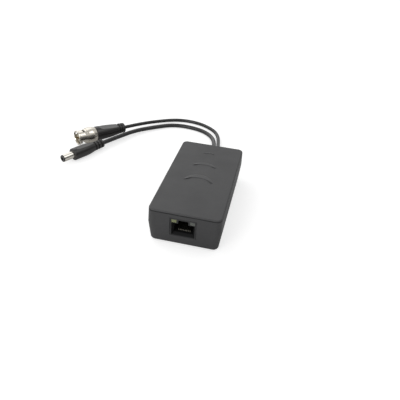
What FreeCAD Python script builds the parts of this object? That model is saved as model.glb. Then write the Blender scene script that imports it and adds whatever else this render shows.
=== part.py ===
import FreeCAD, Part

import math
import os

from FreeCAD import Placement, Rotation, Vector

# Video and power balun: a two-piece box with a jack in its front wall and two leads from its back.
# All lengths are in millimetres. X runs across the box, Y from the jack to the leads, Z is up.
# The origin is the middle of the box's underside.

# Running and nesting clearances
nest_gap = 0.03
slide_gap = 0.15
turning_gap = 0.06
part_gap = 0.3

# Box
case_width = 45.0
case_length = 88.0
case_height = 24.2
corner_radius = 3.4
wall = 1.8
floor_thickness = 2.0
mould_line_z = 13.8
lower_inset = 1.3
upper_inset = 0.25
bottom_edge_radius = 2.4
lid_edge_height = 1.0
lid_edge_radius = 0.8
lid_overhang_inset = 0.05
shadow_gap_height = 0.45
shadow_gap_depth = 0.75
tongue_depth = 2.0
tongue_thickness = 1.1

# Crescents on the lid: half width, y of the tips, rise to the apex, band width at the apex
crescent_height = 0.35
lid_sink = 0.1
crescent_outer_slope = 1.0
crescent_inner_slope = 0.6
crescent_tip_slope = 2.0
crescents = (
    (10.0, -7.0, 8.0, 4.3),
    (8.7, 11.7, 5.5, 3.5),
    (4.5, 29.4, 2.6, 1.9),
)

# Screws from below, in corner posts
screw_inset_x = 5.6
screw_inset_y = 5.8
post_radius = 3.1
screw_pilot_radius = 1.05
screw_clear_radius = 1.45
screw_head_radius = 2.3
screw_head_height = 1.6
screw_head_depth = 3.0
screw_end_margin = 2.75
screw_recess_width = 0.6
screw_recess_depth = 0.8

# Circuit board
board_thickness = 1.6
board_width = 26.8
board_rear_y = 30.0
board_front_gap = 0.5
standoff_radius = 2.2
standoff_pin_radius = 0.95
standoff_pin_rise = 0.8
standoff_x = 10.6
standoff_ys = (-17.0, 25.0)

# Ferrite ring and its winding
core_radius = 5.2
core_hole_radius = 2.6
core_height = 4.6
core_y = -9.0
winding_thickness = 0.45
winding_width = 0.6
winding_count = 12

# Surge arrestor, fuse, diodes and chips: places on the board and sizes
component_leg_radius = 0.35
arrestor_place = (-8.4, 4.0)
arrestor_radius = 2.6
arrestor_half_length = 3.0
arrestor_cap_length = 1.2
arrestor_leg_reach = 1.6
fuse_place = (7.6, 13.0)
fuse_radius = 3.6
fuse_thickness = 2.4
fuse_lift = 0.8
fuse_leg_spread = 2.2
diode_places = ((8.4, -3.0), (8.4, 3.2))
diode_half_length = 2.1
diode_half_width = 1.8
diode_height = 2.2
diode_chamfer = 0.3
chip_places = ((-9.6, -6.0), (-9.6, -10.0), (-9.6, -14.0))
chip_half_length = 1.0
chip_half_width = 0.65
chip_height = 0.8

# Eight-way jack
jack_width = 15.9
jack_height = 13.2
jack_depth = 21.3
jack_centre_x = -0.4
jack_recess = 0.45
jack_window_gap = 0.2
jack_lid_gap = 0.35
socket_width = 12.0
socket_floor = 1.6
socket_height = 8.1
socket_depth = 13.2
socket_flare = 1.2
socket_flare_depth = 2.2
latch_width = 6.2
latch_height = 2.4
latch_depth = 8.0
led_width = 3.2
led_height = 2.2
led_length = 8.8
led_side_margin = 0.75
led_step = 0.2
contact_count = 8
contact_pitch = 1.016
contact_width = 0.44
contact_thickness = 0.3
contact_turn_y = 4.2
contact_reach_y = 12.2
contact_low_z = 0.75
contact_turn_z = 2.1
contact_rise_z = 4.6
contact_bend_radius = 0.6
contact_row_ys = (17.5, 15.0)
contact_drill_radius = 0.4
pin_protrusion = 1.2

# Leads: places of their holes in the back wall, and their sizes
lead_exit_z = 11.0
coax_exit_x = 0.6
coax_diameter = 2.9
power_exit_x = -3.8
power_diameter = 3.4
lead_hole_gap = 0.12
plug_approach = 12.5
tail_length = 11.0
inner_wire_radius = 0.5
inner_wire_spread = 0.7
pad_row_y = 24.5
pad_pitch = 2.6

# Coaxial plug: where its mouth lies, which way it points and its tilt, rear end down
bnc_mouth = Vector(-112.1, 50.4, 7.1)
bnc_heading = 50.0
bnc_tilt = 2.05
bnc_roll = -67.0
collar_length = 15.9
collar_bore_radius = 4.9
collar_rim_radius = 5.85
collar_rim_length = 1.2
collar_waist_radius = 5.35
collar_lip_start = 5.9
collar_lip_length = 1.85
collar_lip_radius = 6.15
collar_line_width = 0.3
collar_line_depth = 0.3
collar_grip_front_radius = 6.2
collar_grip_swell = 2.4
collar_grip_radius = 6.6
collar_rounding = 0.2
collar_cone_length = 3.0
collar_cone_radius = 6.45
collar_end_radius = 5.65
bayonet_pin_slot = 2.2
bayonet_groove_radius = 5.5
bayonet_sweep = 78.0
bayonet_start = 2.8
bayonet_end = 6.3
bayonet_detent_back = 0.5
sleeve_radius = 4.05
sleeve_wall = 0.6
sleeve_start = 1.5
sleeve_slit_width = 0.5
sleeve_slit_count = 4
gasket_length = 0.9
plug_flange_start = 8.1
plug_flange_length = 0.9
hub_radius = 4.25
hub_groove_depth = 0.4
wave_washer_thickness = 0.25
wave_washer_height = 1.05
wave_count = 3
thrust_washer_thickness = 0.4
collar_web_thickness = 1.4
retaining_ring_thickness = 0.7
retaining_ring_radius = 4.85
retaining_ring_split = 1.2
insulator_radius = 2.42
insulator_bore_radius = 0.7
insulator_step = 2.4
centre_pin_radius = 0.675
centre_pin_start = 1.2
crimp_tail_radius = 3.2
crimp_tail_length = 7.6
boot_length = 26.3
boot_radius = 5.5
boot_shoulder = 12.0
boot_neck_radius = 3.7
boot_neck_length = 5.6
boot_ring_radius = 3.85
boot_ring_length = 1.5
boot_groove_width = 0.75
boot_groove_depth = 0.6
boot_flat_start = 3.4
boot_flat_height = 4.6
boot_flat_end_margin = 1.6
panel_reach = 10.0

# Power plug: where its tip lies, which way it points and its tilt, level on the table
dc_tip = Vector(-110.3, 20.7, 4.75)
dc_heading = 60.1
dc_tilt = 0.0
dc_barrel_radius = 2.75
dc_barrel_length = 9.6
dc_barrel_wall = 0.4
dc_bore_radius = 1.05
dc_contact_wall = 0.35
dc_contact_recess = 0.6
dc_tip_ring_length = 0.9
dc_sunk_length = 4.4
dc_sunk_radius = 3.3
dc_body_radius = 4.7
dc_body_straight = 12.9
dc_plug_length = 38.1
dc_neck_start = 30.5
dc_neck_radius = 3.55
dc_rib_count = 3
dc_rib_gap = 1.0
dc_rib_end_radius = 3.2
dc_rib_groove_depth = 1.2
dc_flat_start = 2.2
dc_flat_height = 4.2
dc_flat_end_margin = 2.0


# Shared forms


def block(x0, x1, y0, y1, z0, z1):
    """A box between two corners."""
    return Part.makeBox(x1 - x0, y1 - y0, z1 - z0, Vector(x0, y0, z0))


def rod(radius, start, direction, length):
    """A round bar from a point along a direction."""
    return Part.makeCylinder(radius, length, start, direction)


def rounded_outline(half_x, half_y, radius, z):
    """A closed rectangular outline with arcs at its corners, at height z."""
    diagonal = radius * math.sqrt(0.5)
    edges = []
    corners = ((1, 1), (-1, 1), (-1, -1), (1, -1))
    for index, (sx, sy) in enumerate(corners):
        cx = sx * (half_x - radius)
        cy = sy * (half_y - radius)
        side_start = Vector(cx + sx * radius, cy, z)
        side_end = Vector(cx, cy + sy * radius, z)
        middle = Vector(cx + sx * diagonal, cy + sy * diagonal, z)
        first, last = (side_start, side_end) if index % 2 == 0 else (side_end, side_start)
        edges.append(Part.Arc(first, middle, last).toShape())
    ends = [(edge.valueAt(edge.FirstParameter), edge.valueAt(edge.LastParameter)) for edge in edges]
    outline = []
    for index, edge in enumerate(edges):
        outline.append(edge)
        outline.append(Part.makeLine(ends[index][1], ends[(index + 1) % 4][0]))
    return Part.Wire(outline)


def rounded_prism(half_x, half_y, radius, z0, z1):
    """An upright prism with rounded corners."""
    face = Part.Face(rounded_outline(half_x, half_y, radius, z0))
    return face.extrude(Vector(0, 0, z1 - z0))


def turned(profile):
    """A solid turned about the X axis from a closed list of (x, radius) points."""
    points = [Vector(x, 0, radius) for x, radius in profile]
    outline = Part.makePolygon(points + [points[0]])
    return Part.Face(outline).revolve(Vector(0, 0, 0), Vector(1, 0, 0), 360)


def sleeve(outer_radius, inner_radius, x0, x1):
    """A plain ring or tube about the X axis."""
    return turned(((x0, inner_radius), (x0, outer_radius), (x1, outer_radius), (x1, inner_radius)))


def fused(shapes):
    """One solid out of touching or overlapping ones."""
    shapes = list(shapes)
    return shapes[0].multiFuse(shapes[1:]).removeSplitter()


def bent_path(points, radius=None, report=None):
    """Straight runs joined by tangent arcs; without a radius each arc is as large as its runs allow."""
    edges = []
    radii = []
    start = points[0]
    for before, corner, after in zip(points, points[1:], points[2:]):
        inward = (corner - before).normalize()
        outward = (after - corner).normalize()
        turn = inward.getAngle(outward)
        shorter = min((corner - before).Length, (after - corner).Length)
        largest = 0.45 * shorter / math.tan(turn / 2)
        bend = largest if radius is None else min(radius, largest)
        reach = bend * math.tan(turn / 2)
        entry = corner - inward * reach
        leave = corner + outward * reach
        bisector = (outward - inward).normalize()
        centre = corner + bisector * (bend / math.cos(turn / 2))
        middle = centre - bisector * bend
        edges.append(Part.LineSegment(start, entry).toShape())
        edges.append(Part.Arc(entry, middle, leave).toShape())
        radii.append(bend)
        start = leave
    edges.append(Part.LineSegment(start, points[-1]).toShape())
    if report:
        print(report, "bend radii", [round(value, 1) for value in radii])
    return Part.Wire(edges)


def round_wire(points, wire_radius, bend=None, report=None):
    """A round wire or tube along a bent path."""
    path = bent_path(points, bend, report)
    direction = (points[1] - points[0]).normalize()
    section = Part.Wire(Part.makeCircle(wire_radius, points[0], direction))
    solid = path.makePipeShell([section], True, False)
    if report:
        expected = math.pi * wire_radius**2 * path.Length
        print(report, "length", round(path.Length, 1), "volume ratio", round(solid.Volume / expected, 4))
    return solid


def placed(shape, start, heading, tilt, roll=0.0):
    """A shape built about +X, laid along a heading in plan with its far end tilted down."""
    turn = Rotation(Vector(0, 0, 1), heading)
    turn = turn.multiply(Rotation(Vector(0, 1, 0), tilt))
    turn = turn.multiply(Rotation(Vector(1, 0, 0), roll))
    copy = shape.copy()
    copy.Placement = Placement(start, turn)
    return copy


def lead_direction(heading, tilt):
    """The unit vector of a plug's axis, from its mouth to its lead."""
    turn = Rotation(Vector(0, 0, 1), heading).multiply(Rotation(Vector(0, 1, 0), tilt))
    return turn.multVec(Vector(1, 0, 0))


def save(node, *solids):
    """Writes one node's solids to its own file."""
    shape = solids[0] if len(solids) == 1 else Part.makeCompound(list(solids))
    shape.exportStep(os.path.join("parts", node + ".step"))


# Places worked out from the driving sizes

lid_z = case_height - lid_edge_height
base_top_z = lid_z - shadow_gap_height
board_top_z = base_top_z - tongue_depth - jack_lid_gap - jack_height
board_z = board_top_z - board_thickness
screw_x = case_width / 2 - screw_inset_x
screw_y = case_length / 2 - screw_inset_y
screw_places = [(sx * screw_x, sy * screw_y) for sx in (-1, 1) for sy in (-1, 1)]
screw_seat_z = screw_head_depth + screw_head_height
screw_length = base_top_z - screw_end_margin - screw_seat_z
post_top_z = mould_line_z + 0.5
jack_face_y = -case_length / 2 + jack_recess
coax_radius = coax_diameter / 2
power_radius = power_diameter / 2
back_y = case_length / 2


def side_inset(z):
    """How far a drafted side stands in from the box's widest line at height z."""
    if z < mould_line_z:
        return lower_inset * (mould_line_z - z) / mould_line_z
    return upper_inset * (z - mould_line_z) / (base_top_z - mould_line_z)


def drafted_form(inset, z0, z1):
    """The box's form, drafted both ways from its mould line, pulled in by a wall."""
    outlines = []
    for z in (z0, mould_line_z, z1):
        back = inset + side_inset(z)
        radius = max(corner_radius - inset, 0.8)
        outlines.append(rounded_outline(case_width / 2 - back, case_length / 2 - back, radius, z))
    return Part.makeLoft(outlines, True, True)


def level_edges(shape, z):
    """The edges of a shape that lie at one height."""
    flat = [edge for edge in shape.Edges if edge.BoundBox.ZLength < 1e-4]
    return [edge for edge in flat if abs(edge.BoundBox.ZMax - z) < 1e-4]


# Box


def back_wall_y(z):
    """The outer face of the back wall at height z."""
    return case_length / 2 - side_inset(z)


def case_base():
    """The tub: drafted walls, corner posts, board standoffs, the jack's window and the lead holes."""
    outer = drafted_form(0.0, 0.0, base_top_z)
    outer = outer.makeFillet(bottom_edge_radius, level_edges(outer, 0.0))
    cavity = drafted_form(wall, floor_thickness, base_top_z + 1.0)
    up = Vector(0, 0, 1)
    root_z = floor_thickness / 2
    posts = [rod(post_radius, Vector(x, y, root_z), up, post_top_z - root_z) for x, y in screw_places]
    stand = []
    for x in (-standoff_x, standoff_x):
        for y in standoff_ys:
            foot = Vector(x, y, root_z)
            stand.append(rod(standoff_radius, foot, up, board_z - root_z))
            stand.append(rod(standoff_pin_radius, foot, up, board_top_z + standoff_pin_rise - root_z))
    tub = fused([outer.cut(cavity)] + posts + stand)
    half_window = jack_width / 2 + jack_window_gap
    window = block(
        jack_centre_x - half_window, jack_centre_x + half_window,
        -case_length / 2 - 1.0, -case_length / 2 + 2 * wall,
        board_top_z - jack_window_gap, board_top_z + jack_height + jack_window_gap,
    )
    holes = []
    for x, y in screw_places:
        holes.append(rod(screw_head_radius + part_gap, Vector(x, y, -1.0), up, screw_seat_z + 1.0))
        holes.append(rod(screw_clear_radius, Vector(x, y, 0), up, post_top_z + 1.0))
    for x, radius in ((coax_exit_x, coax_radius), (power_exit_x, power_radius)):
        start = Vector(x, back_y - 2 * wall, lead_exit_z)
        holes.append(rod(radius + lead_hole_gap, start, Vector(0, 1, 0), 3 * wall))
    return tub.cut(fused([window])).cut(Part.makeCompound(holes))


def crescent_outline(half_width, tip_y, outer_y, inner_y, z):
    """A closed outline of two arcs that meet at two tips."""
    left = Vector(-half_width, tip_y, z)
    right = Vector(half_width, tip_y, z)
    return Part.Wire([
        Part.Arc(left, Vector(0, outer_y, z), right).toShape(),
        Part.Arc(right, Vector(0, inner_y, z), left).toShape(),
    ])


def crescent(half_width, tip_y, rise, band):
    """One raised crescent with sloped flanks, wider outside than inside, and long slopes at its tips."""
    outer_y = tip_y + rise
    inner_y = outer_y - band
    spread = 1 + lid_sink / crescent_height
    outlines = []
    for z, slope in ((case_height - lid_sink, -spread + 1), (case_height + crescent_height, 1.0)):
        outlines.append(crescent_outline(
            half_width - slope * crescent_tip_slope, tip_y + slope * crescent_inner_slope,
            outer_y - slope * crescent_outer_slope, inner_y + slope * crescent_inner_slope, z,
        ))
    return Part.makeLoft(outlines, True, True)


def case_lid():
    """The lid: a thin plate over a shadow gap, a tongue inside the walls and four screw bosses."""
    edge_back = upper_inset + lid_overhang_inset
    half_x = case_width / 2 - edge_back
    half_y = case_length / 2 - edge_back
    plate = rounded_prism(half_x, half_y, corner_radius, lid_z, case_height)
    plate = plate.makeFillet(lid_edge_radius, level_edges(plate, case_height))
    back = shadow_gap_depth
    step = rounded_prism(half_x - back, half_y - back, corner_radius - back, base_top_z, lid_z)
    inside = upper_inset + wall + slide_gap
    tongue_x = case_width / 2 - inside
    tongue_y = case_length / 2 - inside
    tongue_radius = corner_radius - wall
    tongue = rounded_prism(tongue_x, tongue_y, tongue_radius, base_top_z - tongue_depth, base_top_z)
    hollow = rounded_prism(
        tongue_x - tongue_thickness, tongue_y - tongue_thickness, tongue_radius / 2,
        base_top_z - tongue_depth, base_top_z,
    )
    boss_z = post_top_z + slide_gap
    bosses = [rod(post_radius - part_gap, Vector(x, y, boss_z), Vector(0, 0, 1), base_top_z - boss_z)
              for x, y in screw_places]
    pilots = [rod(screw_pilot_radius, Vector(x, y, boss_z - 1), Vector(0, 0, 1), base_top_z - boss_z)
              for x, y in screw_places]
    relief = [crescent(*size) for size in crescents]
    lid = fused([plate, step, tongue.cut(hollow)] + bosses + relief)
    return lid.cut(Part.makeCompound(pilots))


def case_screw(x, y):
    """A pan-head screw, head down in its recess, with a cross recess."""
    head = Part.makeCylinder(screw_head_radius, screw_head_height, Vector(x, y, screw_head_depth))
    head = head.makeFillet(screw_head_height / 2, level_edges(head, screw_head_depth))
    root = Vector(x, y, screw_seat_z - 0.2)
    shank = rod(screw_pilot_radius - nest_gap, root, Vector(0, 0, 1), screw_length + 0.2)
    half = screw_recess_width / 2
    arm = 0.6 * screw_head_radius
    floor_z = screw_head_depth + screw_recess_depth
    cross = [
        block(x - arm, x + arm, y - half, y + half, screw_head_depth - 1, floor_z),
        block(x - half, x + half, y - arm, y + arm, screw_head_depth - 1, floor_z),
    ]
    return fused([head, shank]).cut(fused(cross))


# Jack


def contact_x(index):
    """The place across the jack of one contact."""
    return jack_centre_x + (index - (contact_count - 1) / 2) * contact_pitch


def contact_pin_y(index):
    """The solder pins stand in two rows."""
    return jack_face_y + contact_row_ys[index % 2]


def jack_contact(index):
    """One spring contact: pin through the board, run under the floor, turn and rise in the socket."""
    x = contact_x(index)
    low_z = board_top_z + contact_low_z
    points = [
        Vector(x, contact_pin_y(index), board_z - pin_protrusion),
        Vector(x, contact_pin_y(index), low_z),
        Vector(x, jack_face_y + contact_turn_y, low_z),
        Vector(x, jack_face_y + contact_turn_y, board_top_z + contact_turn_z),
        Vector(x, jack_face_y + contact_reach_y, board_top_z + contact_rise_z),
    ]
    path = bent_path(points, contact_bend_radius)
    half_x = contact_width / 2
    half_y = contact_thickness / 2
    corners = [Vector(x + sx * half_x, points[0].y + sy * half_y, points[0].z)
               for sx, sy in ((-1, -1), (1, -1), (1, 1), (-1, 1), (-1, -1))]
    return path.makePipeShell([Part.makePolygon(corners)], True, False)


def led_x(side):
    """The middle of the indicator on one side of the jack."""
    return jack_centre_x + side * (jack_width / 2 - led_side_margin - led_width / 2)


def led_z():
    """The underside of the indicators, above the socket."""
    return board_top_z + socket_floor + socket_height + led_step


def jack_housing():
    """The jack's body: flared socket, latch notch, indicator windows and a comb of contact slots."""
    half = jack_width / 2
    front = jack_face_y
    body = block(jack_centre_x - half, jack_centre_x + half, front, front + jack_depth,
                 board_top_z, board_top_z + jack_height)
    socket_z = board_top_z + socket_floor
    socket_top = socket_z + socket_height
    half_socket = socket_width / 2
    cuts = [
        block(jack_centre_x - half_socket, jack_centre_x + half_socket, front - 1, front + socket_depth,
              socket_z, socket_top),
        block(jack_centre_x - latch_width / 2, jack_centre_x + latch_width / 2,
              front - 1, front + latch_depth, socket_top - 1, socket_top + latch_height),
    ]
    flare = []
    for y, grow in ((front - socket_flare_depth, 2 * socket_flare), (front + socket_flare_depth, 0.0)):
        flare.append(Part.makePolygon([
            Vector(jack_centre_x - half_socket - grow, y, socket_z - grow),
            Vector(jack_centre_x + half_socket + grow, y, socket_z - grow),
            Vector(jack_centre_x + half_socket + grow, y, socket_top),
            Vector(jack_centre_x - half_socket - grow, y, socket_top),
            Vector(jack_centre_x - half_socket - grow, y, socket_z - grow),
        ]))
    cuts.append(Part.makeLoft(flare, True, True))
    for side in (-1, 1):
        reach = led_width / 2 + nest_gap
        cuts.append(block(led_x(side) - reach, led_x(side) + reach, front - 1, front + led_length + part_gap,
                          led_z() - nest_gap, led_z() + led_height + nest_gap))
    slot = contact_width / 2 + nest_gap
    slot_front = front + contact_turn_y - contact_thickness / 2 - part_gap
    for index in range(contact_count):
        x = contact_x(index)
        slot_back = contact_pin_y(index) + contact_thickness / 2 + slide_gap
        cuts.append(block(x - slot, x + slot, slot_front, slot_back, board_top_z - 1, socket_z + slide_gap))
    return body.cut(fused(cuts))


def jack_led(side):
    """One indicator: a rectangular light pipe with a softened front."""
    x = led_x(side)
    pipe = block(x - led_width / 2, x + led_width / 2, jack_face_y, jack_face_y + led_length,
                 led_z(), led_z() + led_height)
    front = [edge for edge in pipe.Edges if edge.BoundBox.YMax < jack_face_y + 1e-4]
    return pipe.makeFillet(0.3, front)


# Inside the box


def circuit_board(lead_pads):
    """The board, drilled for its locating pins, the jack's pins and the lead wires."""
    front = -case_length / 2 + lower_inset + wall + board_front_gap
    board = block(-board_width / 2, board_width / 2, front, board_rear_y, board_z, board_top_z)
    up = Vector(0, 0, 1)
    below = board_z - 1
    depth = board_thickness + 2
    drills = []
    for x in (-standoff_x, standoff_x):
        for y in standoff_ys:
            drills.append(rod(standoff_pin_radius + 0.1, Vector(x, y, below), up, depth))
    for index in range(contact_count):
        pin = Vector(contact_x(index), contact_pin_y(index), below)
        drills.append(rod(contact_drill_radius, pin, up, depth))
    for x, y in lead_pads:
        drills.append(rod(inner_wire_radius + 0.1, Vector(x, y, below), up, depth))
    return board.cut(Part.makeCompound(drills))


def balun_core():
    """The ferrite ring that turns the signal from one-sided to two-sided."""
    base = Vector(0, core_y, board_top_z + winding_thickness + 2 * nest_gap)
    ring = Part.makeCylinder(core_radius, core_height, base)
    ring = ring.cut(Part.makeCylinder(core_hole_radius, core_height, base))
    return ring.makeFillet(0.4, ring.Edges[:1] + ring.Edges[2:3])


def balun_winding():
    """Turns of wire round the ring's section, each a separate loop."""
    low = board_top_z + nest_gap
    high = low + core_height + 2 * (winding_thickness + nest_gap)
    near = core_hole_radius - nest_gap
    far = core_radius + nest_gap
    grow = winding_thickness
    half = winding_width / 2
    outer = block(near - grow, far + grow, -half, half, low, high)
    inner = block(near, far, -2 * half, 2 * half, low + grow, high - grow)
    loop = outer.cut(inner)
    loops = []
    for index in range(winding_count):
        turn = loop.copy()
        spin = Rotation(Vector(0, 0, 1), index * 360 / winding_count)
        turn.Placement = Placement(Vector(0, core_y, 0), spin)
        loops.append(turn)
    return loops


def surge_arrestor():
    """A gas-filled arrestor lying on the board on bent legs, with proud end caps."""
    radius = arrestor_radius
    half = arrestor_half_length
    along = Vector(1, 0, 0)
    centre = Vector(arrestor_place[0], arrestor_place[1], board_top_z + radius)
    pieces = [rod(radius - 0.2, centre - along * half, along, 2 * half)]
    for side in (-1, 1):
        cap_start = centre.x + side * half - (arrestor_cap_length if side > 0 else 0)
        pieces.append(rod(radius, Vector(cap_start, centre.y, centre.z), along, arrestor_cap_length))
        leg_x = centre.x + side * (half + arrestor_leg_reach)
        pieces.append(round_wire([
            centre + along * side * (half - 0.5),
            Vector(leg_x, centre.y, centre.z),
            Vector(leg_x, centre.y, board_top_z),
        ], component_leg_radius, 2.3 * component_leg_radius))
    return fused(pieces)


def resettable_fuse():
    """A flat round fuse standing on two legs."""
    centre = Vector(fuse_place[0], fuse_place[1], board_top_z + fuse_radius + fuse_lift)
    disc = rod(fuse_radius, centre - Vector(0, fuse_thickness / 2, 0), Vector(0, 1, 0), fuse_thickness)
    disc = disc.makeFillet(fuse_thickness / 4, [disc.Edges[0], disc.Edges[2]])
    legs = [rod(component_leg_radius, Vector(centre.x + side * fuse_leg_spread, centre.y, board_top_z),
                Vector(0, 0, 1), fuse_radius) for side in (-1, 1)]
    return fused([disc] + legs)


def surge_diodes():
    """Two moulded diodes flat on the board."""
    diodes = []
    top_z = board_top_z + diode_height
    for x, y in diode_places:
        moulding = block(x - diode_half_length, x + diode_half_length,
                         y - diode_half_width, y + diode_half_width, board_top_z, top_z)
        diodes.append(moulding.makeChamfer(diode_chamfer, level_edges(moulding, top_z)))
    return diodes


def chip_capacitors():
    """Small ceramic chips beside the ring."""
    return [block(x - chip_half_length, x + chip_half_length, y - chip_half_width, y + chip_half_width,
                  board_top_z, board_top_z + chip_height) for x, y in chip_places]


def lead_tail(x, radius):
    """The end of a lead inside the box, through its hole in the back wall."""
    outside = back_wall_y(lead_exit_z)
    return rod(radius, Vector(x, outside - tail_length, lead_exit_z), Vector(0, 1, 0), tail_length)


def tail_wire(x, side, pad):
    """One inner wire, from the end of a tail down through the board."""
    tail_y = back_wall_y(lead_exit_z) - tail_length
    start_x = x + side * inner_wire_spread
    return round_wire([
        Vector(start_x, tail_y, lead_exit_z),
        Vector(start_x, tail_y - 3.2, lead_exit_z),
        Vector(pad[0], pad[1], board_top_z + 2.6),
        Vector(pad[0], pad[1], board_z - 0.6),
    ], inner_wire_radius, 1.5)


def cable_tie():
    """A strap drawn round both tails, with its lock on top."""
    left = power_exit_x
    right = coax_exit_x
    middle = (left + right) / 2
    radius = power_radius + nest_gap
    thickness = 1.0
    y0 = back_wall_y(lead_exit_z) - tail_length + 3.0
    width = 2.4

    def strap(grow):
        outer = radius + grow
        low_left = Vector(left, y0, lead_exit_z - outer)
        low_right = Vector(right, y0, lead_exit_z - outer)
        high_left = Vector(left, y0, lead_exit_z + outer)
        high_right = Vector(right, y0, lead_exit_z + outer)
        outline = Part.Wire([
            Part.makeLine(low_left, low_right),
            Part.Arc(low_right, Vector(right + outer, y0, lead_exit_z), high_right).toShape(),
            Part.makeLine(high_right, high_left),
            Part.Arc(high_left, Vector(left - outer, y0, lead_exit_z), low_left).toShape(),
        ])
        return Part.Face(outline).extrude(Vector(0, width, 0))

    lock = block(middle - 2.2, middle + 2.2, y0 - 0.8, y0 + width + 0.8,
                 lead_exit_z + radius + thickness / 2, lead_exit_z + radius + thickness + 2.6)
    return fused([strap(thickness), lock]).cut(strap(0.0))


# Coaxial plug, built about +X from its mouth

collar_web_start = plug_flange_start + plug_flange_length + wave_washer_height + 0.05 \
    + thrust_washer_thickness + 0.15
collar_web_end = collar_web_start + collar_web_thickness
ring_start = collar_web_end + part_gap
boot_start = collar_length + part_gap
pocket_radius = retaining_ring_radius + part_gap


def bayonet_cutter(phase):
    """The track of one bayonet pin: straight in at the rim, up a helical ramp and back to its seat."""
    half = bayonet_pin_slot / 2
    inner = collar_bore_radius - 0.6
    outer = bayonet_groove_radius
    entry = turned_block(-1.0, bayonet_start + half, half, inner, outer, phase)
    steps = 12
    sections = []
    for index in range(steps + 1):
        share = index / steps
        angle = phase + bayonet_sweep * share
        middle = bayonet_start + (bayonet_end - bayonet_start) * share
        near = middle - half
        far = middle + half
        corners = [(near, inner), (far, inner), (far, outer), (near, outer)]
        points = [Rotation(Vector(1, 0, 0), angle).multVec(Vector(x, 0, radius)) for x, radius in corners]
        sections.append(Part.makePolygon(points + [points[0]]))
    ramp = Part.makeLoft(sections, True, False)
    outward = Rotation(Vector(1, 0, 0), phase + bayonet_sweep).multVec(Vector(0, 0, 1))
    seat_x = bayonet_end - bayonet_detent_back
    seat = rod(half, Vector(seat_x, 0, 0) + outward * inner, outward, outer - inner)
    start = Rotation(Vector(1, 0, 0), phase).multVec(Vector(0, 0, 1))
    corner = rod(half, Vector(bayonet_start, 0, 0) + start * inner, start, outer - inner)
    return [entry, corner, ramp, seat]


def turned_block(x0, x1, half, inner, outer, angle):
    """A radial block turned about the X axis."""
    shape = block(x0, x1, -half, half, inner, outer)
    shape.Placement = Placement(Vector(0, 0, 0), Rotation(Vector(1, 0, 0), angle))
    return shape


def ring_edges(shape, places):
    """The round edges of a turned shape at given (x, radius) places."""
    edges = []
    for edge in shape.Edges:
        box = edge.BoundBox
        for x, radius in places:
            level = box.XLength < 1e-4 and abs(box.XMin - x) < 1e-4
            if level and abs(box.ZMax - radius) < 1e-3 and abs(box.ZMin + radius) < 1e-3:
                edges.append(edge)
    return edges


def bnc_collar():
    """The bayonet collar: rim, waist with two pin tracks, lip, grip band, rear cone and inner web."""
    end = collar_length
    rim = collar_rim_radius
    grip = collar_grip_radius
    lip_end = collar_lip_start + collar_lip_length
    grip_start = lip_end + collar_line_width
    cone_start = end - collar_cone_length
    grip_end = cone_start - collar_line_width
    swell_middle = collar_grip_front_radius + 0.6 * (grip - collar_grip_front_radius)
    form = turned((
        (0.0, collar_bore_radius + 0.35),
        (0.0, rim),
        (collar_rim_length, rim),
        (collar_rim_length + 0.35, collar_waist_radius),
        (collar_lip_start, collar_waist_radius),
        (lip_end, collar_lip_radius),
        (lip_end, collar_lip_radius - collar_line_depth),
        (grip_start, collar_lip_radius - collar_line_depth),
        (grip_start, collar_grip_front_radius),
        (grip_start + 0.4 * collar_grip_swell, swell_middle),
        (grip_start + collar_grip_swell, grip),
        (grip_end, grip),
        (grip_end, grip - collar_line_depth - 0.15),
        (cone_start, grip - collar_line_depth - 0.15),
        (cone_start, collar_cone_radius),
        (end, collar_end_radius),
        (end, pocket_radius),
        (collar_web_end, pocket_radius),
        (collar_web_end, hub_radius + turning_gap),
        (collar_web_start, hub_radius + turning_gap),
        (collar_web_start, collar_bore_radius),
        (0.35, collar_bore_radius),
    ))
    corners = ((0.0, rim), (collar_rim_length, rim), (grip_end, grip),
               (cone_start, collar_cone_radius), (end, collar_end_radius))
    form = form.makeFillet(collar_rounding, ring_edges(form, corners))
    form = form.makeFillet(collar_line_depth / 2, ring_edges(form, ((lip_end, collar_lip_radius),)))
    for phase in (0.0, 180.0):
        for cutter in bayonet_cutter(phase):
            form = form.cut(cutter)
    return form


def bnc_body():
    """The plug's inner body: slit outer contact, flange, hub with a ring groove and a crimped tail."""
    flange_end = plug_flange_start + plug_flange_length
    tail_start = boot_start
    tail_end = tail_start + crimp_tail_length
    ring_end = ring_start + retaining_ring_thickness
    groove = hub_groove_depth
    bore = insulator_radius + nest_gap
    form = turned((
        (sleeve_start, sleeve_radius - sleeve_wall),
        (sleeve_start, sleeve_radius - 0.2),
        (sleeve_start + 0.4, sleeve_radius),
        (plug_flange_start, sleeve_radius),
        (plug_flange_start, collar_bore_radius - slide_gap),
        (flange_end, collar_bore_radius - slide_gap),
        (flange_end, hub_radius),
        (ring_start - nest_gap, hub_radius),
        (ring_start - nest_gap, hub_radius - groove),
        (ring_end + nest_gap, hub_radius - groove),
        (ring_end + nest_gap, hub_radius),
        (tail_start, hub_radius),
        (tail_start, crimp_tail_radius),
        (tail_end, crimp_tail_radius),
        (tail_end, bore),
        (plug_flange_start - insulator_step, bore),
        (plug_flange_start - insulator_step, sleeve_radius - sleeve_wall),
    ))
    half = sleeve_slit_width / 2
    slit_start = sleeve_start - 1
    slit_end = plug_flange_start - insulator_step - 0.8
    slits = []
    for index in range(sleeve_slit_count):
        angle = 45 + index * 360 / sleeve_slit_count
        slits.append(turned_block(slit_start, slit_end, half, sleeve_radius / 2, sleeve_radius + 1, angle))
    return form.cut(Part.makeCompound(slits))


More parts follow.
